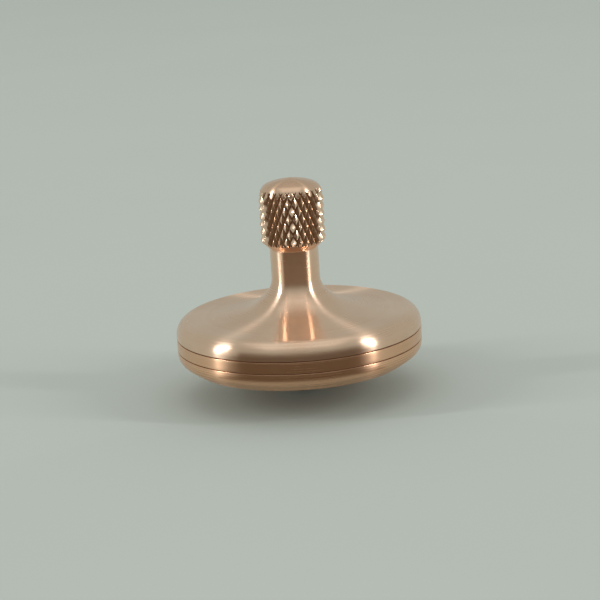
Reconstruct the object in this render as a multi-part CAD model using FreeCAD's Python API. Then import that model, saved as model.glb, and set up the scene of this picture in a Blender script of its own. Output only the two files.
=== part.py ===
"""A turned copper spinning top: stem body, centre ring, lower body and screw-in tip.

Millimetres. +Z runs up the spin axis and the origin is the point of the ball that the top spins on.
The stem body is one turned piece: cap, knurled grip, stem and the dished upper part of the disc.
Its threaded spigot screws into the lower body and clamps the centre ring between the two.
"""
import FreeCAD
import Part
import math
import os

# ---- Disc ------------------------------------------------------------------------------------
disc_diameter = 31.75          # 1 1/4 inch bar, cleaned up on the rim only
lower_seam_height = 6.77       # seam between lower body and centre ring, above the floor
ring_height = 1.53             # centre ring, seam to seam
upper_wall_height = 0.45       # straight rim wall of the stem body above its seam
shoulder_radius = 1.9          # rounded edge of the stem body
crest_slope = 1.0              # degrees that the top rises inwards where the shoulder ends
seam_edge_break = 0.08         # small chamfer on both edges of each seam
seam_gap = 0.02                # clearance between the clamped faces

# ---- Underside of the lower body -------------------------------------------------------------
lower_wall_height = 0.47       # straight rim wall of the lower body below its seam
lower_edge_radius = 1.55       # rounded edge below that wall
bevel_slope = 35.0             # degrees, the steep band under the rim
bevel_inner_radius = 13.85     # where the steep band meets the shallow underside
bevel_blend_radius = 1.5       # curve between the two
underside_slope = 11.0         # degrees, the shallow underside
land_radius = 4.6              # flat land in the middle that the tip holder seats on

# ---- Stem, grip and cap ----------------------------------------------------------------------
flare_radius = 2.8             # tight concave curve at the foot of the stem
flare_slope = 50.0             # degrees of fall where that curve passes into the bend
bend_radius = 6.5              # wider concave curve between the flare and the dish
bend_slope = 12.0              # degrees of fall where the bend passes into the dish
stem_diameter = 6.25
neck_blend_radius = 0.35       # curve between the stem and the taper of the grip
grip_start_height = 19.25      # where the taper leaves the stem
grip_taper = 45.0              # degrees
grip_diameter = 8.38           # over the points of the knurl
cap_start_height = 26.3        # where the side of the grip starts to round over
cap_edge_radius = 1.43
cap_crown_radius = 9.0         # the slight dome on top

# ---- Diamond knurl ---------------------------------------------------------------------------
knurl_count = 28               # diamonds round the grip
knurl_angle = 25.0             # degrees between each groove and the spin axis
knurl_depth = 0.42             # points to groove bottoms
knurl_first_row_height = 20.45 # lowest full row of points, just above the taper

# ---- Spigot, socket and O-ring ---------------------------------------------------------------
spigot_diameter = 12.0         # M12 x 0.75 thread, drawn as a plain cylinder
spigot_end_height = 4.6
spigot_end_chamfer = 0.4
running_clearance = 0.05       # radial, spigot in its socket and ring on its register
socket_floor_height = 4.4
register_diameter = 19.0       # raised boss of the lower body that centres the ring
register_height = 1.1
seal_section = 1.0             # O-ring thickness
seal_clearance = 0.04          # round the O-ring on every side

# ---- Tip -------------------------------------------------------------------------------------
ball_diameter = 3.0
ball_show = 0.95               # how much of the ball stands out of the holder
ball_clearance = 0.01
holder_thread_diameter = 5.0   # M5, drawn as a plain cylinder
holder_thread_clearance = 0.03
holder_thread_recess = 0.2     # how far the thread stops below the socket floor
holder_flats = 6.0             # across the flats of the hexagon
holder_flange_height = 0.65
holder_lip = 0.25              # wall round the ball at the nose

# ---- Derived sizes ---------------------------------------------------------------------------
disc_radius = disc_diameter / 2
stem_radius = stem_diameter / 2
grip_radius = grip_diameter / 2
knurl_half_height = math.pi * grip_radius / knurl_count / math.tan(math.radians(knurl_angle))
spigot_radius = spigot_diameter / 2
socket_radius = spigot_radius + running_clearance
register_radius = register_diameter / 2
upper_seam_height = lower_seam_height + ring_height
register_top = lower_seam_height + register_height
seal_radius = seal_section / 2
seal_centre_radius = spigot_radius + seal_clearance + seal_radius
seal_centre_height = upper_seam_height - seal_clearance - seal_radius
seal_seat_radius = seal_centre_radius + seal_radius + seal_clearance
seal_seat_height = seal_centre_height - seal_radius - seal_clearance
ball_radius = ball_diameter / 2


def vec(r, z):
    """A point of a turned outline: r from the spin axis, z up it."""
    return FreeCAD.Vector(r, 0, z)


def on_circle(centre, radius, degrees):
    """The point at an angle on a circle of the outline, counted up from the outward direction."""
    angle = math.radians(degrees)
    return vec(centre.x + radius * math.cos(angle), centre.z + radius * math.sin(angle))


def line(start, end):
    return Part.LineSegment(start, end).toShape()


def arc(centre, radius, start_degrees, end_degrees):
    """An arc of the outline between two angles."""
    middle = on_circle(centre, radius, (start_degrees + end_degrees) / 2)
    start = on_circle(centre, radius, start_degrees)
    end = on_circle(centre, radius, end_degrees)
    return Part.Arc(start, middle, end).toShape()


def joined(*pieces):
    """The edges of an outline: arcs as given, with a line drawn across every step between them.

    A piece is a point or an arc. The outline closes on itself.
    """
    edges = []
    first = None
    here = None
    for piece in pieces:
        is_point = isinstance(piece, FreeCAD.Vector)
        start = piece if is_point else piece.valueAt(piece.FirstParameter)
        if here is not None and here.distanceToPoint(start) > 1e-6:
            edges.append(line(here, start))
        first = first or start
        here = start if is_point else piece.valueAt(piece.LastParameter)
        if not is_point:
            edges.append(piece)
    edges.append(line(here, first))
    return edges


def turned(*pieces):
    """A solid turned from its half outline."""
    face = Part.Face(Part.Wire(joined(*pieces)))
    return face.revolve(FreeCAD.Vector(), FreeCAD.Vector(0, 0, 1), 360)


def disc_top_arcs():
    """Shoulder, wide dish, bend and tight flare, each tangent to the next."""
    shoulder_centre = vec(disc_radius - shoulder_radius, upper_seam_height + upper_wall_height)
    shoulder = arc(shoulder_centre, shoulder_radius, 0, 90 - crest_slope)
    crest = on_circle(shoulder_centre, shoulder_radius, 90 - crest_slope)
    crest_sine = math.sin(math.radians(crest_slope))
    bend_sine = math.sin(math.radians(bend_slope))
    flare_sine = math.sin(math.radians(flare_slope))
    flare_foot_r = stem_radius + flare_radius * (1 - flare_sine)
    bend_foot_r = flare_foot_r + bend_radius * (flare_sine - bend_sine)
    dish_radius = (crest.x - bend_foot_r) / (bend_sine - crest_sine)
    dish_centre = on_circle(crest, dish_radius, 90 - crest_slope)
    dish = arc(dish_centre, dish_radius, 270 - crest_slope, 270 - bend_slope)
    bend_foot = on_circle(dish_centre, dish_radius, 270 - bend_slope)
    bend_centre = on_circle(bend_foot, bend_radius, 90 - bend_slope)
    bend = arc(bend_centre, bend_radius, 270 - bend_slope, 270 - flare_slope)
    flare_foot = on_circle(bend_centre, bend_radius, 270 - flare_slope)
    flare_centre = on_circle(flare_foot, flare_radius, 90 - flare_slope)
    flare = arc(flare_centre, flare_radius, 270 - flare_slope, 180)
    return shoulder, dish, bend, flare


def cap_arcs():
    """The rounded edge of the cap and the shallow crown that it meets without a corner."""
    edge_centre = vec(grip_radius - knurl_depth / 2 - cap_edge_radius, cap_start_height)
    reach = cap_crown_radius - cap_edge_radius
    crown_angle = math.degrees(math.acos(edge_centre.x / reach))
    crown_centre = vec(0, edge_centre.z - reach * math.sin(math.radians(crown_angle)))
    edge = arc(edge_centre, cap_edge_radius, 0, crown_angle)
    crown = arc(crown_centre, cap_crown_radius, crown_angle, 90)
    return edge, crown


def neck_blend():
    """The small inside curve where the stem meets the taper."""
    setback = neck_blend_radius * math.tan(math.radians(grip_taper) / 2)
    centre = vec(stem_radius + neck_blend_radius, grip_start_height - setback)
    return arc(centre, neck_blend_radius, 180, 180 - grip_taper)


def knurl_corner(column, row):
    """A corner of the knurl's lattice, half a diamond apart each way from the next.

    Points and groove crossings alternate like the colours of a chessboard.
    """
    is_point = (column + row) % 2 == 1
    radius = grip_radius if is_point else grip_radius - knurl_depth
    angle = column % (2 * knurl_count) * math.pi / knurl_count
    height = knurl_first_row_height + (row - 1) * knurl_half_height
    return FreeCAD.Vector(radius * math.cos(angle), radius * math.sin(angle), height)


def knurl_facets(column, row):
    """The two flat facets of one lattice cell, folded along the groove that crosses it."""
    cell = [
        knurl_corner(column, row),
        knurl_corner(column + 1, row),
        knurl_corner(column + 1, row + 1),
        knurl_corner(column, row + 1),
    ]
    if (column + row) % 2 == 1:
        cell = cell[1:] + cell[:1]
    halves = ((cell[0], cell[1], cell[2]), (cell[0], cell[2], cell[3]))
    return [Part.Face(Part.makePolygon(half + (half[0],))) for half in halves]


def make_knurled_bar(rows):
    """A bar whose whole side is four-sided pyramids."""
    faces = []
    for row in range(rows):
        for column in range(2 * knurl_count):
            faces += knurl_facets(column, row)
    for row in (0, rows):
        loop = [knurl_corner(column, row) for column in range(2 * knurl_count)]
        faces.append(Part.Face(Part.makePolygon(loop + [loop[0]])))
    bar = Part.Solid(Part.Shell(faces))
    if bar.Volume < 0:
        bar.reverse()
    return bar


def make_knurl_cutter():
    """Everything outside the pyramids, from inside the taper up into the rounded cap."""
    bottom = knurl_corner(0, 0).z
    rows = math.ceil((cap_start_height + cap_edge_radius / 2 - bottom) / knurl_half_height)
    height = rows * knurl_half_height
    blank = Part.makeCylinder(grip_radius + 1, height, FreeCAD.Vector(0, 0, bottom))
    return blank.cut(make_knurled_bar(rows))


def make_stem_body():
    """Cap, grip, stem, dished upper disc and spigot, turned in one piece and then knurled."""
    shoulder, dish, bend, flare = disc_top_arcs()
    edge, crown = cap_arcs()
    face = upper_seam_height + seam_gap
    taper_end = grip_start_height + (grip_radius - stem_radius) * math.tan(math.radians(grip_taper))
    blank = turned(
        vec(0, spigot_end_height),
        vec(spigot_radius - spigot_end_chamfer, spigot_end_height),
        vec(spigot_radius, spigot_end_height + spigot_end_chamfer),
        vec(spigot_radius, face),
        vec(disc_radius - seam_edge_break, face),
        vec(disc_radius, face + seam_edge_break),
        shoulder,
        dish,
        bend,
        flare,
        neck_blend(),
        vec(grip_radius, taper_end),
        vec(grip_radius, cap_start_height - knurl_depth / 2),
        edge,
        crown,
    )
    return blank.cut(make_knurl_cutter())


def make_centre_ring():
    """The plain ring between the two seams, centred on the register of the lower body."""
    inner = register_radius + running_clearance
    bottom = lower_seam_height
    top = upper_seam_height
    return turned(
        vec(inner, bottom),
        vec(disc_radius - seam_edge_break, bottom),
        vec(disc_radius, bottom + seam_edge_break),
        vec(disc_radius, top - seam_edge_break),
        vec(disc_radius - seam_edge_break, top),
        vec(inner, top),
    )


def underside_points():
    """The rounded edge under the rim, the bend of the underside and the height of the land."""
    edge_centre = vec(disc_radius - lower_edge_radius, lower_seam_height - lower_wall_height)
    edge = arc(edge_centre, lower_edge_radius, bevel_slope - 90, 0)
    edge_end = on_circle(edge_centre, lower_edge_radius, bevel_slope - 90)
    bevel_drop = (edge_end.x - bevel_inner_radius) * math.tan(math.radians(bevel_slope))
    corner = vec(bevel_inner_radius, edge_end.z - bevel_drop)
    half_turn = math.radians(bevel_slope - underside_slope) / 2
    setback = bevel_blend_radius * math.tan(half_turn)
    slope = math.radians(underside_slope)
    start = vec(corner.x - setback * math.cos(slope), corner.z - setback * math.sin(slope))
    centre = vec(
        start.x - bevel_blend_radius * math.sin(slope),
        start.z + bevel_blend_radius * math.cos(slope),
    )
    blend = arc(centre, bevel_blend_radius, underside_slope - 90, bevel_slope - 90)
    land_height = corner.z - (corner.x - land_radius) * math.tan(slope)
    return edge, blend, land_height


def make_lower_body():
    """The lower part of the disc, with the threaded socket, ring register and tip hole."""
    edge, blend, land_height = underside_points()
    tip_hole_radius = holder_thread_diameter / 2 + holder_thread_clearance
    return turned(
        vec(tip_hole_radius, land_height),
        vec(land_radius, land_height),
        blend,
        edge,
        vec(disc_radius, lower_seam_height - seam_edge_break),
        vec(disc_radius - seam_edge_break, lower_seam_height),
        vec(register_radius, lower_seam_height),
        vec(register_radius, register_top),
        vec(seal_seat_radius, register_top),
        vec(seal_seat_radius, seal_seat_height),
        vec(socket_radius, seal_seat_height),
        vec(socket_radius, socket_floor_height),
        vec(tip_hole_radius, socket_floor_height),
    )


def make_seal_ring():
    """The O-ring round the root of the spigot, which stops the stem body working loose."""
    centre = FreeCAD.Vector(0, 0, seal_centre_height)
    return Part.makeTorus(seal_centre_radius, seal_radius, centre)


def make_tip_holder():
    """The screw-in holder: thread, hexagon and a cone that closes on the ball."""
    land_height = underside_points()[2]
    thread_radius = holder_thread_diameter / 2
    thread_end = socket_floor_height - holder_thread_recess
    hexagon_radius = holder_flats / math.sqrt(3)
    flange_bottom = land_height - holder_flange_height
    bore_radius = ball_radius + ball_clearance
    nose_radius = bore_radius + holder_lip
    bore_end = ball_diameter + ball_clearance
    corners = []
    for degrees in range(0, 361, 60):
        angle = math.radians(degrees)
        x = hexagon_radius * math.cos(angle)
        y = hexagon_radius * math.sin(angle)
        corners.append(FreeCAD.Vector(x, y, flange_bottom))
    hexagon = Part.Face(Part.makePolygon(corners))
    flange = hexagon.extrude(FreeCAD.Vector(0, 0, holder_flange_height))
    core = turned(
        vec(0, thread_end),
        vec(0, ball_show),
        vec(nose_radius, ball_show),
        vec(holder_flats / 2, flange_bottom),
        vec(thread_radius, land_height),
        vec(thread_radius, thread_end),
    )
    bore = Part.makeCylinder(bore_radius, bore_end)
    return core.fuse(flange).cut(bore).removeSplitter()


def make_tip_ball():
    """The hard ball that the top spins on."""
    return Part.makeSphere(ball_radius, FreeCAD.Vector(0, 0, ball_radius))


makers = {
    "stem_body": make_stem_body,
    "centre_ring": make_centre_ring,
    "lower_body": make_lower_body,
    "seal_ring": make_seal_ring,
    "tip_holder": make_tip_holder,
    "tip_ball": make_tip_ball,
}

os.makedirs("parts", exist_ok=True)
for name, make in makers.items():
    shape = make()
    print(name, "valid", shape.isValid(), "solids", len(shape.Solids), "volume", round(shape.Volume, 3))
    shape.exportStep("parts/" + name + ".step")
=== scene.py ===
# %% [markdown]
# # A turned copper spinning top
#
# The real top comes off a lathe. A bar of copper is cut to a half outline while it turns, so
# almost every surface here is an outline spun about one axis, and the only cuts that aren't round
# are the diamond knurl of the grip and the hexagon of the tip holder. The construction is already
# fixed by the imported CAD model, which this script loads as a frame. The lesson adds what CAD leaves
# out: smooth finely divided surfaces, worn edges, a bright knurl and satin turned metal.

# %% Load the frame
import math

import bmesh
import bpy
from mathutils import Matrix, Vector


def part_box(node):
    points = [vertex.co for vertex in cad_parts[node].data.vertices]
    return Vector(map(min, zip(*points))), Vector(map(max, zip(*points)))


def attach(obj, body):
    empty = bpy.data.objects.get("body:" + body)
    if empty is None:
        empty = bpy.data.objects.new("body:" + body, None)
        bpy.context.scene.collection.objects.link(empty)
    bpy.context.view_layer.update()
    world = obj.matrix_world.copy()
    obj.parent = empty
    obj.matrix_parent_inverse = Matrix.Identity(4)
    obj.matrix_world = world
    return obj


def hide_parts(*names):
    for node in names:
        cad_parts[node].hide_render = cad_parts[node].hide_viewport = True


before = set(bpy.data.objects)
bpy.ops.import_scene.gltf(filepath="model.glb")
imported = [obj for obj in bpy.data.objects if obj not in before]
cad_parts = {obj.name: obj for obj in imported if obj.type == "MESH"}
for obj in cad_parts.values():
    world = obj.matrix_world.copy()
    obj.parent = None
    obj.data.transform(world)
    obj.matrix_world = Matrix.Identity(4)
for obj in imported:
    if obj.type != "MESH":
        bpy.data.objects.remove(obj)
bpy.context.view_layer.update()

MM = 0.001

# %% [markdown]
# ## Sizes from the frame
#
# What can be read from the frame is read from it: the radius of the disc, the heights of the two
# seams and the top of the cap are corners of the CAD nodes' boxes. Typing these numbers again would
# work too, but they would be wrong as soon as the CAD model changes.

# %% Read the frame's boxes
def node_top(node):
    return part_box(node)[1].z / MM


def node_bottom(node):
    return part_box(node)[0].z / MM


DISC_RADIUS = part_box("centre_ring")[1].x / MM
LOWER_SEAM = node_bottom("centre_ring")
UPPER_SEAM = node_top("centre_ring")
SPIGOT_END = node_bottom("stem_body")
CAP_TOP = node_top("stem_body")
REGISTER_TOP = node_top("lower_body")
LAND = node_bottom("lower_body")
HOLDER_TOP = node_top("tip_holder")
HOLDER_NOSE = node_bottom("tip_holder")
BALL_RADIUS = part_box("tip_ball")[1].x / MM
SEAL_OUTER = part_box("seal_ring")[1].x / MM
SEAL_TOP = node_top("seal_ring")
SEAL_BOTTOM = node_bottom("seal_ring")

print("disc", round(2 * DISC_RADIUS, 3), "tall", round(CAP_TOP, 3), "seams", LOWER_SEAM, UPPER_SEAM)

# %% [markdown]
# ## A pen for turned outlines
#
# A lathe tool traces a half outline. The pen does the same with two bmesh operators: a vertex is
# extruded along a straight cut, and spun about a centre for a curved one. Spinning the finished
# outline once round the Z axis then makes the solid. Another way is a Screw modifier on a curve,
# but a bmesh keeps every ring of vertices at hand for later cuts.

# %% The outline pen
class Pen:
    """Draws a half outline in the XZ plane, in millimetres, from the axis round to the axis."""

    def __init__(self, radius, height):
        self.bm = bmesh.new()
        self.tip = self.bm.verts.new((radius, 0, height))

    def line(self, radius, height, steps=1):
        """A straight cut, in as many steps as asked."""
        stride = (Vector((radius, 0, height)) - self.tip.co) / steps
        for _ in range(steps):
            made = bmesh.ops.extrude_vert_indiv(self.bm, verts=[self.tip])
            self.tip = made["verts"][0]
            self.tip.co += stride

    def arc(self, radius, height, degrees, steps=12):
        """A curved cut about a centre, anticlockwise on a drawing with r to the right."""
        spun = bmesh.ops.spin(
            self.bm,
            geom=[self.tip],
            cent=(radius, 0, height),
            axis=(0, -1, 0),
            angle=math.radians(degrees),
            steps=steps,
        )
        self.tip = next(item for item in spun["geom_last"] if isinstance(item, bmesh.types.BMVert))

    def turned(self, steps=256):
        """The outline spun into a closed solid."""
        bmesh.ops.spin(
            self.bm,
            geom=self.bm.verts[:] + self.bm.edges[:],
            axis=(0, 0, 1),
            angle=math.tau,
            steps=steps,
            use_merge=True,
        )
        bmesh.ops.remove_doubles(self.bm, verts=self.bm.verts, dist=1e-4)
        bmesh.ops.recalc_face_normals(self.bm, faces=self.bm.faces)
        return self.bm


# %% [markdown]
# ## From bmesh to a finished piece
#
# Every piece is drawn in millimetres and scaled to metres once, in its mesh, so its object stays at
# the origin, unturned and unscaled. Edges sharper than 30 degrees are marked sharp, which keeps the
# flats of the knurl crisp while the turned curves shade smoothly.

# %% Finishing a piece
def piece_from(bm, name, sharp_degrees=30):
    """Makes an object of a bmesh drawn in millimetres and frees the bmesh."""
    bmesh.ops.scale(bm, vec=(MM, MM, MM), verts=bm.verts)
    open_edges = sum(not edge.is_manifold for edge in bm.edges)
    mesh = bpy.data.meshes.new(name)
    bm.to_mesh(mesh)
    bm.free()
    mesh.shade_smooth()
    mesh.set_sharp_from_angle(angle=math.radians(sharp_degrees))
    piece = bpy.data.objects.new(name, mesh)
    bpy.context.scene.collection.objects.link(piece)
    print(name, len(mesh.polygons), "faces,", open_edges, "open edges")
    return piece


def combined(first, second, operation):
    """The boolean of two objects as a new bmesh in millimetres. Both objects are removed."""
    modifier = first.modifiers.new("cut", "BOOLEAN")
    modifier.operation = operation
    modifier.object = second
    modifier.solver = "EXACT"
    modifier.material_mode = "TRANSFER"
    graph = bpy.context.evaluated_depsgraph_get()
    mesh = bpy.data.meshes.new_from_object(first.evaluated_get(graph))
    bm = bmesh.new()
    bm.from_mesh(mesh)
    bmesh.ops.scale(bm, vec=(1 / MM, 1 / MM, 1 / MM), verts=bm.verts)
    for spent in (first, second):
        bpy.data.meshes.remove(spent.data)
    bpy.data.meshes.remove(mesh)
    return bm


# %% [markdown]
# ## Where the clamped pieces meet
#
# The upper disc, the centre ring and the lower body are clamped on each other. Next to the rim each
# is relieved by a few hundredths of a millimetre, so that they press on each other further in, and
# their edges are broken, because a lathe hand leaves no edge sharp. That leaves a slit too narrow
# for light to find its way out of again, which is why each seam reads as a fine dark line. A painted
# line would be simpler, but it would look the same from every side and in every light.

# %% Sizes of the seams
SEAM_GAP = 0.02
RIM_RELIEF = 0.05
RIM_RELIEF_DEPTH = 0.6
EDGE_BREAK = 0.05
print("slits", 2 * RIM_RELIEF, "and", round(2 * RIM_RELIEF + SEAM_GAP, 3), "mm high")

# %% [markdown]
# ## The blank of the stem body
#
# Cap, grip, stem, flare, upper disc and spigot are one piece of copper. Before the knurl is rolled
# it is a plain turned blank. The outline starts on the axis under the spigot and ends on the axis
# at the crown. Between the crest of the rim and the stem it is three arcs, the shallow dish, the
# bend and the flare, and each takes over where the slope of the last one ends. The radius of the
# dish isn't chosen: it is worked out so that the arcs meet. Splines would do as well, but arcs are
# what a drawing gives and what the eye reads as turned.

# %% Draw and spin the blank
SPIGOT_RADIUS = 6.0
SPIGOT_CHAMFER = 0.4
UPPER_WALL = 0.45
SHOULDER_RADIUS = 1.9
CREST_SLOPE = 1.0
BEND_SLOPE = 12.0
BEND_RADIUS = 6.5
FLARE_SLOPE = 50.0
FLARE_RADIUS = 2.8
STEM_RADIUS = 3.125
NECK_RADIUS = 0.35
GRIP_START = 19.25
GRIP_TAPER = 45.0
GRIP_RADIUS = 4.19
KNURL_DEPTH = 0.42
CAP_START = 26.3
CAP_EDGE_RADIUS = 1.43
CAP_CROWN_RADIUS = 9.0


def stem_blank():
    face = UPPER_SEAM + SEAM_GAP
    pen = Pen(0, SPIGOT_END)
    pen.line(SPIGOT_RADIUS - SPIGOT_CHAMFER, SPIGOT_END)
    pen.line(SPIGOT_RADIUS, SPIGOT_END + SPIGOT_CHAMFER)
    pen.line(SPIGOT_RADIUS, face)
    pen.line(DISC_RADIUS - RIM_RELIEF_DEPTH, face, steps=4)
    pen.line(DISC_RADIUS - RIM_RELIEF_DEPTH, face + RIM_RELIEF)
    pen.line(DISC_RADIUS - EDGE_BREAK, face + RIM_RELIEF)
    pen.arc(DISC_RADIUS - EDGE_BREAK, face + RIM_RELIEF + EDGE_BREAK, 90, steps=4)
    pen.line(DISC_RADIUS, UPPER_SEAM + UPPER_WALL, steps=2)
    pen.arc(DISC_RADIUS - SHOULDER_RADIUS, UPPER_SEAM + UPPER_WALL, 90 - CREST_SLOPE, steps=24)
    crest = math.radians(CREST_SLOPE)
    bend = math.radians(BEND_SLOPE)
    flare = math.radians(FLARE_SLOPE)
    flare_foot = STEM_RADIUS + FLARE_RADIUS * (1 - math.sin(flare))
    bend_foot = flare_foot + BEND_RADIUS * (math.sin(flare) - math.sin(bend))
    dish = (pen.tip.co.x - bend_foot) / (math.sin(bend) - math.sin(crest))
    dish_centre = pen.tip.co + Vector((math.sin(crest), 0, math.cos(crest))) * dish
    pen.arc(dish_centre.x, dish_centre.z, CREST_SLOPE - BEND_SLOPE, steps=20)
    bend_centre = pen.tip.co + Vector((math.sin(bend), 0, math.cos(bend))) * BEND_RADIUS
    pen.arc(bend_centre.x, bend_centre.z, BEND_SLOPE - FLARE_SLOPE, steps=16)
    flare_height = pen.tip.co.z + FLARE_RADIUS * math.cos(flare)
    print("dish radius", round(dish, 2), "flare ends", round(flare_height, 2), "up")
    pen.arc(STEM_RADIUS + FLARE_RADIUS, flare_height, FLARE_SLOPE - 90, steps=16)
    setback = NECK_RADIUS * math.tan(math.radians(GRIP_TAPER) / 2)
    pen.line(STEM_RADIUS, GRIP_START - setback, steps=4)
    pen.arc(STEM_RADIUS + NECK_RADIUS, GRIP_START - setback, -GRIP_TAPER, steps=5)
    pen.line(GRIP_RADIUS, GRIP_START + (GRIP_RADIUS - STEM_RADIUS) * math.tan(math.radians(GRIP_TAPER)))
    pen.line(GRIP_RADIUS, CAP_START - KNURL_DEPTH / 2)
    pen.line(GRIP_RADIUS - KNURL_DEPTH / 2, CAP_START)
    edge_centre = GRIP_RADIUS - KNURL_DEPTH / 2 - CAP_EDGE_RADIUS
    reach = CAP_CROWN_RADIUS - CAP_EDGE_RADIUS
    crown_angle = math.acos(edge_centre / reach)
    pen.arc(edge_centre, CAP_START, math.degrees(crown_angle), steps=16)
    pen.arc(0, CAP_START - reach * math.sin(crown_angle), 90 - math.degrees(crown_angle), steps=16)
    return pen.turned()


blank = piece_from(stem_blank(), "blank")

# %% [markdown]
# ## The diamond knurl
#
# A knurling tool presses two families of grooves into the grip, leaning left and right, and what
# stays between them are four-sided pyramids. Points and groove crossings alternate like the colours
# of a chessboard, so the knurl is modelled as a ring of 56 vertices that is extruded up in rows,
# with every second vertex pulled in to the depth of the groove. Each cell is then folded along its
# groove. Rolled copper isn't razor sharp: a bevel of about a hundredth of a millimetre takes the
# edge off every ridge, and catches the light as the real points do. Cutting each groove with a
# boolean would also work, but 56 crossing cuts are slow and can leave slivers.

# %% Roll the knurl
KNURL_COUNT = 28
KNURL_ROWS = 8
KNURL_ANGLE = 25.0
KNURL_FIRST_ROW = 20.45
KNURL_EDGE_WEAR = 0.014
SKIRT_RADIUS = 1.4 * DISC_RADIUS
OVERSHOOT = 1


def widen_and_close(bm, loop, radius, height):
    """Extrudes an end loop of the knurl out to a radius, then along to a height, and fills it."""
    made = bmesh.ops.extrude_edge_only(bm, edges=loop)["geom"]
    for vertex in (item for item in made if isinstance(item, bmesh.types.BMVert)):
        vertex.co.xy = vertex.co.xy.normalized() * radius
    loop = [item for item in made if isinstance(item, bmesh.types.BMEdge)]
    made = bmesh.ops.extrude_edge_only(bm, edges=loop)["geom"]
    for vertex in (item for item in made if isinstance(item, bmesh.types.BMVert)):
        vertex.co.z = height
    loop = [item for item in made if isinstance(item, bmesh.types.BMEdge)]
    bmesh.ops.edgeloop_fill(bm, edges=loop)


def knurled_envelope():
    """A closed form that is the knurl round the grip and well clear of the blank elsewhere."""
    half_height = math.pi * GRIP_RADIUS / KNURL_COUNT / math.tan(math.radians(KNURL_ANGLE))
    columns = 2 * KNURL_COUNT
    bm = bmesh.new()
    ring = bmesh.ops.create_circle(bm, segments=columns, radius=GRIP_RADIUS, cap_ends=False)["verts"]
    ring.sort(key=lambda v: math.atan2(v.co.y, v.co.x) % math.tau)
    start = KNURL_FIRST_ROW - half_height
    turn = Matrix.Rotation(-math.atan2(ring[0].co.y, ring[0].co.x), 3, "Z")
    bmesh.ops.rotate(bm, verts=ring, cent=(0, 0, 0), matrix=turn)
    bmesh.ops.translate(bm, verts=ring, vec=(0, 0, start))
    loop = bm.edges[:]
    first_loop = loop
    for row in range(KNURL_ROWS + 1):
        level = {vertex for edge in loop for vertex in edge.verts}
        for vertex in level:
            column = round(math.atan2(vertex.co.y, vertex.co.x) / math.tau * columns)
            if (column + row) % 2 == 0:
                vertex.co.xy *= (GRIP_RADIUS - KNURL_DEPTH) / GRIP_RADIUS
        if row == KNURL_ROWS:
            break
        made = bmesh.ops.extrude_edge_only(bm, edges=loop)["geom"]
        risen = [item for item in made if isinstance(item, bmesh.types.BMVert)]
        for vertex in risen:
            vertex.co.xy = vertex.co.xy.normalized() * GRIP_RADIUS
        bmesh.ops.translate(bm, verts=risen, vec=(0, 0, half_height))
        loop = [item for item in made if isinstance(item, bmesh.types.BMEdge)]
    middle = GRIP_RADIUS - KNURL_DEPTH / 2
    for face in bm.faces[:]:
        low = [vertex for vertex in face.verts if vertex.co.xy.length < middle]
        bmesh.ops.connect_verts(bm, verts=low)
    knurl_edges = [edge for edge in bm.edges if edge.is_manifold]
    print("knurl", columns, "columns", KNURL_ROWS, "rows,", len(knurl_edges), "folds")
    widen_and_close(bm, first_loop, SKIRT_RADIUS, -OVERSHOOT)
    widen_and_close(bm, loop, middle, CAP_TOP + OVERSHOOT)
    bmesh.ops.recalc_face_normals(bm, faces=bm.faces)
    bmesh.ops.bevel(
        bm,
        geom=knurl_edges,
        offset=KNURL_EDGE_WEAR,
        offset_type="OFFSET",
        segments=2,
        profile=0.5,
        affect="EDGES",
        material=-1,
        clamp_overlap=True,
    )
    return bm


envelope = piece_from(knurled_envelope(), "envelope")

# %% [markdown]
# ## Blank and knurl together
#
# The stem body is what the blank and the knurled form have in common, so a boolean intersection
# makes it. Each object has a material of its own before the cut, and every face keeps the one that
# it came with: turned copper on the round surfaces, rolled copper on the facets. The two materials
# are empty here and get their nodes further on. Sorting the faces by their place afterwards would
# also do, but it has to guess at the edge of the knurl.

# %% Cut the grip
turned_finish = bpy.data.materials.new("satin_copper")
rolled_finish = bpy.data.materials.new("rolled_copper")
blank.data.materials.append(turned_finish)
envelope.data.materials.append(rolled_finish)
stem = piece_from(combined(blank, envelope, "INTERSECT"), "stem_turned")
stem.data.materials.append(turned_finish)
stem.data.materials.append(rolled_finish)
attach(stem, "stem")
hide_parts("stem_body")

# %% [markdown]
# ## The centre ring
#
# The band between the two rim lines is a plain ring, with the relief of the seams on both faces and
# a bore that drops over the register of the lower body. A tube from the Add menu would nearly do,
# but its edges would be sharp and its seams closed.

# %% Turn the ring
RING_BORE_RADIUS = 9.55


def centre_ring():
    pen = Pen(RING_BORE_RADIUS, LOWER_SEAM)
    pen.line(DISC_RADIUS - RIM_RELIEF_DEPTH, LOWER_SEAM, steps=3)
    pen.line(DISC_RADIUS - RIM_RELIEF_DEPTH, LOWER_SEAM + RIM_RELIEF)
    pen.line(DISC_RADIUS - EDGE_BREAK, LOWER_SEAM + RIM_RELIEF)
    pen.arc(DISC_RADIUS - EDGE_BREAK, LOWER_SEAM + RIM_RELIEF + EDGE_BREAK, 90, steps=4)
    pen.line(DISC_RADIUS, UPPER_SEAM - RIM_RELIEF - EDGE_BREAK, steps=3)
    pen.arc(DISC_RADIUS - EDGE_BREAK, UPPER_SEAM - RIM_RELIEF - EDGE_BREAK, 90, steps=4)
    pen.line(DISC_RADIUS - RIM_RELIEF_DEPTH, UPPER_SEAM - RIM_RELIEF)
    pen.line(DISC_RADIUS - RIM_RELIEF_DEPTH, UPPER_SEAM)
    pen.line(RING_BORE_RADIUS, UPPER_SEAM, steps=3)
    pen.line(RING_BORE_RADIUS, LOWER_SEAM)
    return pen.turned()


ring = piece_from(centre_ring(), "ring_turned")
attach(ring, "base")
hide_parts("centre_ring")

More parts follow.
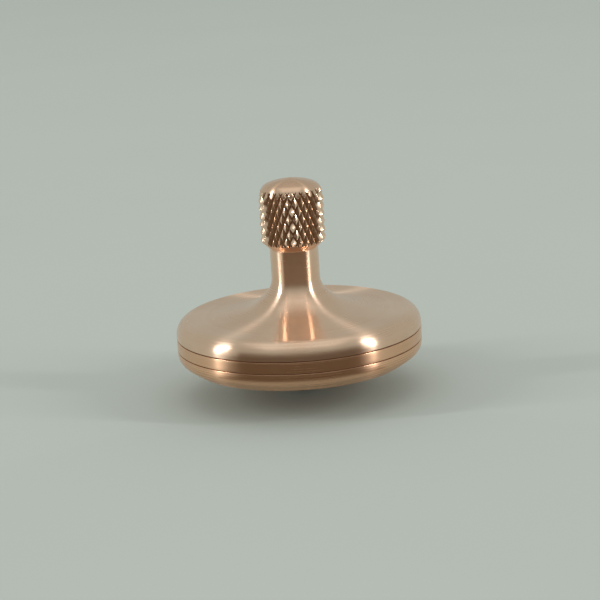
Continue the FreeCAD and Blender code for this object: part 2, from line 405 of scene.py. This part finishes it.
# %% [markdown]
# ## The lower body
#
# The underside rounds in from the rim, runs down a steep band and then flattens towards a land in
# the middle, which the tip holder seats on. Inside are the raised register that centres the ring,
# the seat of the O-ring and the socket of the spigot. The inside is never seen, but it is drawn as
# well, because a piece that is turned from real copper has one and a cut through it should be true.

# %% Turn the lower body
LOWER_WALL = 0.47
LOWER_EDGE_RADIUS = 1.55
BEVEL_SLOPE = 35.0
BEVEL_INNER = 13.85
BEVEL_BLEND = 1.5
UNDERSIDE_SLOPE = 11.0
LAND_RADIUS = 4.6
REGISTER_RADIUS = 9.5
SEAL_SEAT_RADIUS = 7.12
SEAL_CLEARANCE = 0.04
SEAL_SEAT = SEAL_BOTTOM - SEAL_CLEARANCE
SOCKET_RADIUS = 6.05
SOCKET_FLOOR = 4.4
HOLDER_BORE_RADIUS = 2.53


def lower_body():
    bevel = math.radians(BEVEL_SLOPE)
    under = math.radians(UNDERSIDE_SLOPE)
    edge_r = DISC_RADIUS - LOWER_EDGE_RADIUS
    edge_z = LOWER_SEAM - LOWER_WALL
    edge_end_r = edge_r + LOWER_EDGE_RADIUS * math.sin(bevel)
    edge_end_z = edge_z - LOWER_EDGE_RADIUS * math.cos(bevel)
    corner_z = edge_end_z - (edge_end_r - BEVEL_INNER) * math.tan(bevel)
    setback = BEVEL_BLEND * math.tan((bevel - under) / 2)
    blend_r = BEVEL_INNER - setback * math.cos(under)
    blend_z = corner_z - setback * math.sin(under)
    pen = Pen(HOLDER_BORE_RADIUS, LAND)
    pen.line(LAND_RADIUS, LAND, steps=2)
    pen.line(blend_r, blend_z, steps=8)
    centre_r = blend_r - BEVEL_BLEND * math.sin(under)
    centre_z = blend_z + BEVEL_BLEND * math.cos(under)
    pen.arc(centre_r, centre_z, BEVEL_SLOPE - UNDERSIDE_SLOPE, steps=8)
    pen.line(edge_end_r, edge_end_z, steps=3)
    pen.arc(edge_r, edge_z, 90 - BEVEL_SLOPE, steps=10)
    pen.line(DISC_RADIUS, LOWER_SEAM - RIM_RELIEF - EDGE_BREAK)
    pen.arc(DISC_RADIUS - EDGE_BREAK, LOWER_SEAM - RIM_RELIEF - EDGE_BREAK, 90, steps=4)
    pen.line(DISC_RADIUS - RIM_RELIEF_DEPTH, LOWER_SEAM - RIM_RELIEF)
    pen.line(DISC_RADIUS - RIM_RELIEF_DEPTH, LOWER_SEAM)
    pen.line(REGISTER_RADIUS, LOWER_SEAM, steps=3)
    pen.line(REGISTER_RADIUS, REGISTER_TOP)
    pen.line(SEAL_SEAT_RADIUS, REGISTER_TOP)
    pen.line(SEAL_SEAT_RADIUS, SEAL_SEAT)
    pen.line(SOCKET_RADIUS, SEAL_SEAT)
    pen.line(SOCKET_RADIUS, SOCKET_FLOOR)
    pen.line(HOLDER_BORE_RADIUS, SOCKET_FLOOR)
    pen.line(HOLDER_BORE_RADIUS, LAND)
    return pen.turned()


lower = piece_from(lower_body(), "lower_turned")
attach(lower, "base")
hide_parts("lower_body")

# %% [markdown]
# ## The O-ring
#
# A rubber ring sits round the spigot and brakes the thread, so that the top doesn't unscrew in play.
# Its section is a circle, stood up, moved out and spun round the axis. Blender's torus is the same
# shape, but the spin shows how any section is turned into a moulded ring.

# %% Spin the O-ring
def seal_ring():
    bm = bmesh.new()
    half = (SEAL_TOP - SEAL_BOTTOM) / 2
    section = bmesh.ops.create_circle(bm, segments=32, radius=half)["verts"]
    stand = Matrix.Rotation(math.pi / 2, 3, "X")
    bmesh.ops.rotate(bm, verts=section, cent=(0, 0, 0), matrix=stand)
    bmesh.ops.translate(bm, verts=section, vec=(SEAL_OUTER - half, 0, SEAL_BOTTOM + half))
    bmesh.ops.spin(bm, geom=bm.edges[:], axis=(0, 0, 1), angle=math.tau, steps=160, use_merge=True)
    bmesh.ops.remove_doubles(bm, verts=bm.verts, dist=1e-4)
    bmesh.ops.recalc_face_normals(bm, faces=bm.faces)
    return bm


seal = piece_from(seal_ring(), "seal_moulded")
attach(seal, "seal")
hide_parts("seal_ring")

# %% [markdown]
# ## The tip holder
#
# A small steel holder carries the ball and screws into the lower body. It is a cone turned with its
# shank, and a hexagon six sides round so that a spanner can undo it. The two are made apart and
# joined by a boolean union, because a spin only makes round forms. The edges of the hexagon are
# bevelled, as handling wears them.

# %% Turn the holder and add its hexagon
BALL_CLEARANCE = 0.01
NOSE_ROUNDING = 0.04
NOSE_LIP = 0.21
NOSE_TURN = 60
CONE_RADIUS = 2.98
FLANGE_HEIGHT = 0.65
SHANK_RADIUS = 2.5
SHANK_CHAMFER = 0.25
HEXAGON_ACROSS_FLATS = 6.0
HEXAGON_WEAR = 0.06


def tip_holder():
    bore = BALL_RADIUS + BALL_CLEARANCE
    pen = Pen(0, 2 * BALL_RADIUS + BALL_CLEARANCE)
    pen.line(bore, 2 * BALL_RADIUS + BALL_CLEARANCE)
    pen.line(bore, HOLDER_NOSE + NOSE_ROUNDING)
    pen.arc(bore + NOSE_ROUNDING, HOLDER_NOSE + NOSE_ROUNDING, 90, steps=3)
    pen.line(bore + NOSE_LIP, HOLDER_NOSE)
    pen.arc(bore + NOSE_LIP, HOLDER_NOSE + NOSE_ROUNDING, NOSE_TURN, steps=3)
    pen.line(CONE_RADIUS, LAND - FLANGE_HEIGHT)
    pen.line(CONE_RADIUS, LAND)
    pen.line(SHANK_RADIUS, LAND)
    pen.line(SHANK_RADIUS, HOLDER_TOP - SHANK_CHAMFER)
    pen.line(SHANK_RADIUS - SHANK_CHAMFER, HOLDER_TOP)
    pen.line(0, HOLDER_TOP)
    return pen.turned(steps=96)


def hexagon():
    bm = bmesh.new()
    corner = HEXAGON_ACROSS_FLATS / math.sqrt(3)
    bmesh.ops.create_cone(
        bm, cap_ends=True, segments=6, radius1=corner, radius2=corner, depth=FLANGE_HEIGHT
    )
    bmesh.ops.rotate(bm, verts=bm.verts, cent=(0, 0, 0), matrix=Matrix.Rotation(math.pi / 6, 3, "Z"))
    bmesh.ops.translate(bm, verts=bm.verts, vec=(0, 0, LAND - FLANGE_HEIGHT / 2))
    bmesh.ops.bevel(
        bm, geom=bm.edges[:], offset=HEXAGON_WEAR, segments=3, profile=0.5, affect="EDGES", material=-1
    )
    return bm


holder_core = piece_from(tip_holder(), "holder_core")
holder_hexagon = piece_from(hexagon(), "holder_hexagon")
holder = piece_from(combined(holder_core, holder_hexagon, "UNION"), "holder_turned")
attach(holder, "base")
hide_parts("tip_holder")

# %% [markdown]
# ## The ball
#
# The top runs on one hard ball. A UV sphere is the plain way to make it: its two poles lie on the
# spin axis, where a real polished ball shows nothing either.

# %% Make the ball
def tip_ball():
    bm = bmesh.new()
    bmesh.ops.create_uvsphere(bm, u_segments=96, v_segments=48, radius=BALL_RADIUS)
    bmesh.ops.translate(bm, verts=bm.verts, vec=(0, 0, BALL_RADIUS))
    return bm


ball = piece_from(tip_ball(), "ball_polished")
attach(ball, "base")
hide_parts("tip_ball")

# %% [markdown]
# ## Node helpers
#
# Materials are built from nodes, and all of them are procedural: they read the point on the piece
# and compute a pattern there, so nothing has to be unwrapped. The helpers keep that readable. One
# adds a node, one fills a socket with a number, a colour or another node's output, and the others
# are the few combinations that every finish here needs, such as a noise or a bump.

# %% Helpers for materials
class Nodes:
    """A material, and short ways to add nodes to it."""

    def __init__(self, name):
        self.material = bpy.data.materials.get(name) or bpy.data.materials.new(name)
        self.material.use_nodes = True
        self.tree = self.material.node_tree
        self.shader = self.tree.nodes["Principled BSDF"]

    def add(self, kind, settings=None):
        """Adds a node and sets the properties that aren't sockets."""
        node = self.tree.nodes.new("ShaderNode" + kind)
        for name, value in (settings or {}).items():
            setattr(node, name, value)
        return node

    def set(self, node, socket, value):
        """Links an output to a socket, or writes a plain value on it."""
        target = node.inputs[int(socket)] if socket.isdigit() else node.inputs[socket]
        if isinstance(value, bpy.types.NodeSocket):
            self.tree.links.new(value, target)
        else:
            target.default_value = value

    def maths(self, operation, first, second=0.0):
        """The result of a Math node."""
        node = self.add("Math", {"operation": operation})
        self.set(node, "0", first)
        self.set(node, "1", second)
        return node.outputs[0]

    def position(self):
        """The point on the piece, in its own coordinates, in millimetres."""
        place = self.add("TexCoord").outputs["Object"]
        scaled = self.add("VectorMath", {"operation": "SCALE"})
        self.set(scaled, "0", place)
        scaled.inputs["Scale"].default_value = 1 / MM
        return scaled.outputs["Vector"]

    def remap(self, value, low, high, new_low, new_high):
        """A value moved from one range to another, held at its ends."""
        node = self.add("MapRange")
        for name, number in (("Value", value), ("From Min", low), ("From Max", high)):
            self.set(node, name, number)
        self.set(node, "To Min", new_low)
        self.set(node, "To Max", new_high)
        return node.outputs["Result"]

    def mix(self, amount, first, second):
        """A colour between two colours."""
        node = self.add("Mix", {"data_type": "RGBA"})
        self.set(node, "0", amount)
        self.set(node, "6", first)
        self.set(node, "7", second)
        return node.outputs[2]

    def split(self, vector):
        """The X, Y and Z of a vector."""
        node = self.add("SeparateXYZ")
        self.set(node, "Vector", vector)
        return node.outputs["X"], node.outputs["Y"], node.outputs["Z"]

    def noise(self, place, per_mm, detail):
        """A cloudy pattern between 0 and 1."""
        node = self.add("TexNoise")
        self.set(node, "Vector", place)
        self.set(node, "Scale", per_mm)
        self.set(node, "Detail", detail)
        return node.outputs["Fac"]

    def bump(self, height, depth, strength=1.0):
        """The surface direction over a relief of a depth in millimetres."""
        node = self.add("Bump")
        node.inputs["Strength"].default_value = strength
        node.inputs["Distance"].default_value = depth * MM
        self.set(node, "Height", height)
        return node.outputs["Normal"]

    def finished(self):
        """The material, after saying how many nodes it took."""
        print(self.material.name, len(self.tree.nodes), "nodes")
        return self.material


# %% [markdown]
# ## Painting a piece
#
# A piece that a boolean made still lists the materials of what it was cut from, so the list is
# cleared before the finish goes on. Only the stem keeps its own list, because it has two finishes.

# %% Paint
def paint(piece, material):
    piece.data.materials.clear()
    piece.data.materials.append(material)


# %% [markdown]
# ## The lay of the tool lines
#
# A lathe tool leaves a fine spiral of grooves, too small to see one by one. Together they spread
# every reflection across the groove, which is why a turned disc shows bright streaks that run from
# the axis to the rim. The shader does that with anisotropy, and needs to be told which way the
# grooves run: round the axis, at right angles to the line from it. The coarser lines are real
# bumps. They depend only on the distance from the axis and the height, so they run round the piece.
# A picture of scratches wrapped on the disc would need a seam, and this has none.

# %% Where the grooves run
def groove_direction(nodes, place):
    """The direction round the spin axis, in world space as the shader wants it."""
    across = nodes.add("VectorMath", {"operation": "CROSS_PRODUCT"})
    across.inputs[0].default_value = (0, 0, 1)
    nodes.set(across, "1", place)
    turned = nodes.add("VectorTransform", {"vector_type": "VECTOR", "convert_from": "OBJECT"})
    turned.convert_to = "WORLD"
    nodes.set(turned, "Vector", across.outputs["Vector"])
    return turned.outputs["Vector"]


def lathe_coordinates(nodes, place):
    """Distance from the axis and height as a vector, the same all the way round."""
    x, y, z = nodes.split(place)
    square = nodes.maths("ADD", nodes.maths("POWER", x, 2.0), nodes.maths("POWER", y, 2.0))
    joined = nodes.add("CombineXYZ")
    nodes.set(joined, "X", nodes.maths("SQRT", square))
    nodes.set(joined, "Y", z)
    return joined.outputs["Vector"]


# %% [markdown]
# ## Satin turned metal
#
# The grooves of a real turned face aren't all alike: most are shallow and smear a light a little, some
# are deep and smear it widely. One lobe of reflection can't do both, so the recipe mixes two shaders, a
# tighter one and a wider, fully stretched one. A quarter turn of the anisotropic rotation makes both
# stretch across the grooves. On the cap, which fingers polish, the wide one nearly goes, and painted
# shade darkens the colour towards the crown. A slow noise over the whole piece keeps the finish from
# looking too even.

# %% The turned metal recipe
FINE_LINES_PER_MM = 7.0
COARSE_LINES_PER_MM = 1.6
CLOUDS_PER_MM = 0.22
STAIN = 0.32
# Painted shade: how far the cap's colour is darkened towards its crown, and over which heights.
CAP_TOP_SHADE = 0.55
CAP_TOP_SHADE_FROM = CAP_START + 0.3
CAP_TOP_SHADE_TO = CAP_START + 1.6
WIDE_SHARE = 0.4
WIDE_SHARE_ON_CAP = 0.08
WIDE_EXTRA_ROUGHNESS = 0.08
QUARTER_TURN = 0.25


def turned_metal(name, colour, tarnish_and_shade, roughness, anisotropy, line_depth):
    """Satin metal with circular tool lines, darker tarnished patches, and painted shade that darkens
    the cap towards its crown.
    """
    nodes = Nodes(name)
    place = nodes.position()
    lathe = lathe_coordinates(nodes, place)
    height = nodes.split(place)[2]
    fine = nodes.noise(lathe, FINE_LINES_PER_MM, 1.0)
    coarse = nodes.noise(lathe, COARSE_LINES_PER_MM, 3.0)
    cloud = nodes.noise(place, CLOUDS_PER_MM, 3.0)
    cloudy_lines = nodes.maths("ADD", cloud, nodes.maths("MULTIPLY", coarse, 0.5))
    stain = nodes.remap(cloudy_lines, 0.55, 1.05, 0.0, STAIN)
    # Painted shade: darker towards the crown of the cap, by height alone.
    cap_top_shade_mask = nodes.remap(height, CAP_TOP_SHADE_FROM, CAP_TOP_SHADE_TO, 0.0, CAP_TOP_SHADE)
    tint = nodes.mix(nodes.maths("MAXIMUM", stain, cap_top_shade_mask), colour, tarnish_and_shade)
    tool_marks = nodes.remap(fine, 0.3, 0.7, roughness - 0.03, roughness + 0.03)
    rough = nodes.maths("ADD", tool_marks, nodes.remap(cloud, 0.35, 0.7, -0.015, 0.02))
    surface = nodes.bump(nodes.maths("ADD", fine, coarse), line_depth)
    direction = groove_direction(nodes, place)
    wide = nodes.add("BsdfPrincipled")
    for shader, extra, stretch in ((nodes.shader, 0.0, anisotropy), (wide, WIDE_EXTRA_ROUGHNESS, 1.0)):
        nodes.set(shader, "Base Color", tint)
        nodes.set(shader, "Roughness", nodes.maths("ADD", rough, extra))
        nodes.set(shader, "Normal", surface)
        nodes.set(shader, "Tangent", direction)
        shader.inputs["Metallic"].default_value = 1.0
        shader.inputs["Anisotropic"].default_value = stretch
        shader.inputs["Anisotropic Rotation"].default_value = QUARTER_TURN
    share = nodes.remap(height, CAP_START, CAP_START + 1.5, WIDE_SHARE, WIDE_SHARE_ON_CAP)
    blend = nodes.add("MixShader")
    nodes.set(blend, "0", share)
    nodes.set(blend, "1", nodes.shader.outputs["BSDF"])
    nodes.set(blend, "2", wide.outputs["BSDF"])
    nodes.set(nodes.tree.nodes["Material Output"], "Surface", blend.outputs[0])
    return nodes.finished()


# %% [markdown]
# ## Copper and steel
#
# The upper disc and the stem are bright copper. The ring and the lower body get a darker, browner copy
# of it, which is painted shade on the rim band and the underside and also lets the rim read as three
# pieces. The steel of the holder is duller and less stretched. All three are one recipe with other
# numbers. Copper's colour is that of its reflection, because a metal has no other.

# %% Mix and paint the turned metals
COPPER = (0.94, 0.67, 0.50, 1)
# The next colour is both the stain's colour and where the painted shade on the cap's top leads.
COPPER_TARNISH_AND_SHADE = (0.80, 0.45, 0.27, 1)
# Painted shade: a darker, browner copy of the copper for the ring and the lower body.
SHADED_COPPER = (0.90, 0.56, 0.36, 1)
SHADED_COPPER_TARNISH = (0.72, 0.36, 0.18, 1)
STEEL = (0.62, 0.61, 0.59, 1)
STEEL_TARNISH = (0.5, 0.48, 0.45, 1)

turned_metal("satin_copper", COPPER, COPPER_TARNISH_AND_SHADE, 0.24, 0.96, 0.0005)
shaded_copper = turned_metal("shaded_copper", SHADED_COPPER, SHADED_COPPER_TARNISH, 0.25, 0.9, 0.0005)
steel = turned_metal("turned_steel", STEEL, STEEL_TARNISH, 0.25, 0.6, 0.001)

# The ring and the lower body get the painted-shade copy of the copper.
for piece in (ring, lower):
    paint(piece, shaded_copper)
paint(holder, steel)

# %% [markdown]
# ## Rolled knurl finish
#
# The knurling rolls are hardened and polished, and they burnish the flanks that they press into the
# copper. So the facets are smoother than the turned faces and mirror their surroundings, each in its
# own direction. A faint waviness breaks the mirrors up, and the bottoms of the grooves get painted
# shade, a darker colour that the distance from the axis finds without any painting by hand.

# %% The knurl's material
ROLLED_COPPER = (0.97, 0.70, 0.52, 1)
# Painted shade: the colour, share and radius that darken the bottoms of the knurl's grooves.
GROOVE_SHADE_COLOUR = (0.45, 0.19, 0.10, 1)
GROOVE_SHADE = 0.4
GROOVE_SHADE_TOP = GRIP_RADIUS - 0.2
WAVINESS = 0.003


def rolled_metal(name, colour, shade_colour):
    """Burnished facets, darker towards the bottom of the grooves."""
    nodes = Nodes(name)
    place = nodes.position()
    radius = nodes.split(lathe_coordinates(nodes, place))[0]
    # Painted shade, darker towards the bottom of the grooves.
    deep = nodes.remap(radius, GRIP_RADIUS - KNURL_DEPTH, GROOVE_SHADE_TOP, GROOVE_SHADE, 0.0)
    grain = nodes.noise(place, 3.0, 3.0)
    nodes.set(nodes.shader, "Base Color", nodes.mix(deep, colour, shade_colour))
    nodes.set(nodes.shader, "Roughness", nodes.remap(grain, 0.3, 0.7, 0.15, 0.2))
    nodes.set(nodes.shader, "Normal", nodes.bump(grain, WAVINESS))
    nodes.shader.inputs["Metallic"].default_value = 1.0
    return nodes.finished()


rolled_metal("rolled_copper", ROLLED_COPPER, GROOVE_SHADE_COLOUR)

# %% [markdown]
# ## Ceramic and rubber
#
# The ball is polished silicon nitride, nearly black and glassy. The O-ring is nitrile rubber with a
# film of grease, so it is dull with a soft sheen. Neither is one flat colour: a fine noise mixes two
# tones that are close together and moves the roughness with them, as dust and polish do.

# %% Ball and O-ring finishes
CERAMIC = (0.030, 0.031, 0.034, 1)
CERAMIC_SPECK = (0.06, 0.06, 0.063, 1)
RUBBER = (0.012, 0.012, 0.013, 1)
RUBBER_DUST = (0.03, 0.03, 0.031, 1)


def polished_ceramic():
    nodes = Nodes("polished_ceramic")
    speckle = nodes.noise(nodes.position(), 14.0, 4.0)
    amount = nodes.remap(speckle, 0.4, 0.65, 0.0, 1.0)
    nodes.set(nodes.shader, "Base Color", nodes.mix(amount, CERAMIC, CERAMIC_SPECK))
    nodes.set(nodes.shader, "Roughness", nodes.remap(speckle, 0.3, 0.7, 0.07, 0.14))
    nodes.shader.inputs["IOR"].default_value = 2.0
    return nodes.finished()


def greased_rubber():
    nodes = Nodes("greased_rubber")
    grain = nodes.noise(nodes.position(), 22.0, 3.0)
    nodes.set(nodes.shader, "Base Color", nodes.mix(grain, RUBBER, RUBBER_DUST))
    nodes.set(nodes.shader, "Roughness", nodes.remap(grain, 0.3, 0.7, 0.38, 0.55))
    nodes.set(nodes.shader, "Normal", nodes.bump(grain, 0.004, strength=0.4))
    return nodes.finished()


paint(ball, polished_ceramic())
paint(seal, greased_rubber())

# %% [markdown]
# ## The floor
#
# The top stands on a sheet of pale grey-green paper. It is far wider than the view, so that its edge
# never shows. A dull shader with hardly any gloss and a slow mottle keep it from looking like a
# plain grey plane.

# %% Lay the floor
PAPER = (0.415, 0.465, 0.425, 1)
PAPER_MOTTLE = (0.40, 0.45, 0.41, 1)
FLOOR_RADIUS = 4000


def floor_sheet():
    bm = bmesh.new()
    bmesh.ops.create_circle(bm, cap_ends=True, segments=96, radius=FLOOR_RADIUS)
    floor = piece_from(bm, "floor")
    nodes = Nodes("floor_paper")
    mottle = nodes.noise(nodes.position(), 0.02, 3.0)
    nodes.set(nodes.shader, "Base Color", nodes.mix(mottle, PAPER, PAPER_MOTTLE))
    nodes.shader.inputs["Roughness"].default_value = 0.9
    nodes.shader.inputs["Specular IOR Level"].default_value = 0.1
    paint(floor, nodes.finished())


floor_sheet()

# %% [markdown]
# ## The dark side of the room
#
# Metal shows what surrounds it, and copper in an evenly pale room looks like clay. In front of the
# top the room is unlit, and the metal has to show that as its dark tones. A low sheet that turns up
# into a curved card stands for it. It glows a faint warm brown rather than black, as a dim room
# does, and only the metal sees it: it casts no shadow and the camera looks through it.

# %% Set up the dark card
CARD_NEAR = 20.0
CARD_FAR = 400.0
CARD_LIFT = 0.3
CARD_TOP_ANGLE = 20
CARD_HALF_SECTOR = 58
CARD_GLOW = (0.095, 0.0646, 0.038, 1)


def unlit_glow():
    nodes = Nodes("unlit_room")
    nodes.tree.nodes.remove(nodes.shader)
    glow = nodes.add("Emission")
    glow.inputs["Color"].default_value = CARD_GLOW
    nodes.set(nodes.tree.nodes["Material Output"], "Surface", glow.outputs[0])
    return nodes.finished()


def hide_from_all_but_metal(card):
    card.visible_camera = False
    card.visible_shadow = False
    card.visible_diffuse = False
    card.visible_transmission = False
    card.visible_volume_scatter = False


def dark_front():
    """A low sheet in front of the top that turns up into a curved card, as one surface."""
    bm = bmesh.new()
    half_sector = math.radians(CARD_HALF_SECTOR)
    first = bm.verts.new((0, -CARD_NEAR, CARD_LIFT))
    turn = Matrix.Rotation(-half_sector, 3, "Z")
    bmesh.ops.rotate(bm, verts=[first], cent=(0, 0, 0), matrix=turn)
    bmesh.ops.spin(bm, geom=[first], axis=(0, 0, 1), angle=2 * half_sector, steps=48)
    made = bmesh.ops.extrude_edge_only(bm, edges=bm.edges[:])["geom"]
    outer = [item for item in made if isinstance(item, bmesh.types.BMVert)]
    bmesh.ops.scale(bm, vec=(CARD_FAR / CARD_NEAR, CARD_FAR / CARD_NEAR, 1), verts=outer)
    rim = [item for item in made if isinstance(item, bmesh.types.BMEdge)]
    made = bmesh.ops.extrude_edge_only(bm, edges=rim)["geom"]
    risen = [item for item in made if isinstance(item, bmesh.types.BMVert)]
    rise = CARD_FAR * math.tan(math.radians(CARD_TOP_ANGLE))
    bmesh.ops.translate(bm, verts=risen, vec=(0, 0, rise))
    card = piece_from(bm, "unlit_room")
    paint(card, unlit_glow())
    hide_from_all_but_metal(card)


dark_front()

# %% [markdown]
# ## The room
#
# The rest of the room is the world. Where the camera or the metal looks it has the tone of the
# backdrop, and where it lights dull things it is brighter, as a fill light would be. A Light Path
# node tells the two apart. A dome of lamps could do the same, but its lamps would show in the metal.

# %% Light the room
BACKDROP = (0.445, 0.479, 0.445, 1)
FILL = (0.78, 0.76, 0.75, 1)


def room_light():
    """The world: the backdrop's tone where the camera or the metal looks, and fill for the rest."""
    world = bpy.data.worlds.new("room")
    bpy.context.scene.world = world
    world.use_nodes = True
    tree = world.node_tree
    path = tree.nodes.new("ShaderNodeLightPath")
    seen = None
    for ray in ("Is Camera Ray", "Is Glossy Ray", "Is Transmission Ray"):
        total = tree.nodes.new("ShaderNodeMath")
        total.operation = "MAXIMUM"
        tree.links.new(path.outputs[ray], total.inputs[0])
        total.inputs[1].default_value = 0.0
        if seen:
            tree.links.new(seen, total.inputs[1])
        seen = total.outputs[0]
    tone = tree.nodes.new("ShaderNodeMix")
    tone.data_type = "RGBA"
    tree.links.new(seen, tone.inputs[0])
    tone.inputs[6].default_value = FILL
    tone.inputs[7].default_value = BACKDROP
    background = tree.nodes["Background"]
    background.inputs["Strength"].default_value = 1.0
    tree.links.new(tone.outputs[2], background.inputs["Color"])
    print("world", len(tree.nodes), "nodes")


room_light()

# %% [markdown]
# ## Softboxes
#
# Two tall narrow softboxes are at the sides, a little to the front and raised, and a large one
# hangs above. A lamp's shape is what metal shows, so narrow boxes give the stem and each facet
# of the knurl a crisp line of light, and their height lets facets that lean up or down catch them
# too. The large box lights the floor and lays the soft shadow. Point lamps would only leave dots.

# %% Two soft side lights and a soft one above
LIGHT_DISTANCE = 1500
LIGHT_AIM_HEIGHT = 12


def soft_light(name, azimuth, elevation, width, height, power):
    """A rectangular softbox that faces the top. Azimuth 0 is in front, and it grows to the right."""
    data = bpy.data.lights.new(name, "AREA")
    data.shape = "RECTANGLE"
    data.size = width * MM
    data.size_y = height * MM
    data.energy = power
    light = bpy.data.objects.new(name, data)
    across, up = math.radians(azimuth), math.radians(elevation)
    towards = Vector((math.sin(across) * math.cos(up), -math.cos(across) * math.cos(up), math.sin(up)))
    light.location = towards * LIGHT_DISTANCE * MM + Vector((0, 0, LIGHT_AIM_HEIGHT * MM))
    light.rotation_mode = "QUATERNION"
    light.rotation_quaternion = towards.to_track_quat("Z", "Y")
    bpy.context.scene.collection.objects.link(light)
    print(name, width, "by", height, "mm,", power, "watts")


soft_light("left_softbox", -83, 24, 80, 860, 7.0)
soft_light("right_softbox", 71, 24, 80, 860, 7.0)
soft_light("top_softbox", 0, 85, 1500, 1500, 2.8)

# %% [markdown]
# ## Camera
#
# The camera looks down on the disc by fifteen degrees, a quarter of a metre away. The lens follows
# from that distance and the width that it has to take in, which is easier to reason about than a
# focal length. The camera is rolled a little, so that the top leans to the left, and it aims a few
# millimetres above the seams, so that disc and grip both fit.

# %% Place the camera
CAMERA_ELEVATION = 14.86
CAMERA_AZIMUTH = 0.0
CAMERA_ROLL = -3.55
CAMERA_DISTANCE = 250.0
FRAME_WIDTH = 78.0
AIM_HEIGHT = 3.74
AIM_SIDE = 0.13


def place_camera():
    data = bpy.data.cameras.new("camera")
    data.sensor_width = 36
    data.lens = data.sensor_width * CAMERA_DISTANCE / FRAME_WIDTH
    data.clip_start = 0.01
    data.clip_end = 20
    camera = bpy.data.objects.new("camera", data)
    across, up = math.radians(CAMERA_AZIMUTH), math.radians(CAMERA_ELEVATION)
    back = Vector((math.sin(across) * math.cos(up), -math.cos(across) * math.cos(up), math.sin(up)))
    target = Vector((0, 0, UPPER_SEAM * MM))
    camera.location = target + back * CAMERA_DISTANCE * MM
    look = (-back).to_track_quat("-Z", "Y")
    roll = Matrix.Rotation(math.radians(CAMERA_ROLL), 4, "Z")
    nod = Matrix.Rotation(math.atan(AIM_HEIGHT / CAMERA_DISTANCE), 4, "X")
    glance = Matrix.Rotation(-math.atan(AIM_SIDE / CAMERA_DISTANCE), 4, "Y")
    camera.rotation_mode = "QUATERNION"
    camera.rotation_quaternion = (look.to_matrix().to_4x4() @ roll @ nod @ glance).to_quaternion()
    bpy.context.scene.collection.objects.link(camera)
    bpy.context.scene.camera = camera
    print("lens", round(data.lens, 1), "mm, distance", CAMERA_DISTANCE, "mm")


place_camera()
bpy.context.scene.view_settings.view_transform = "Standard"
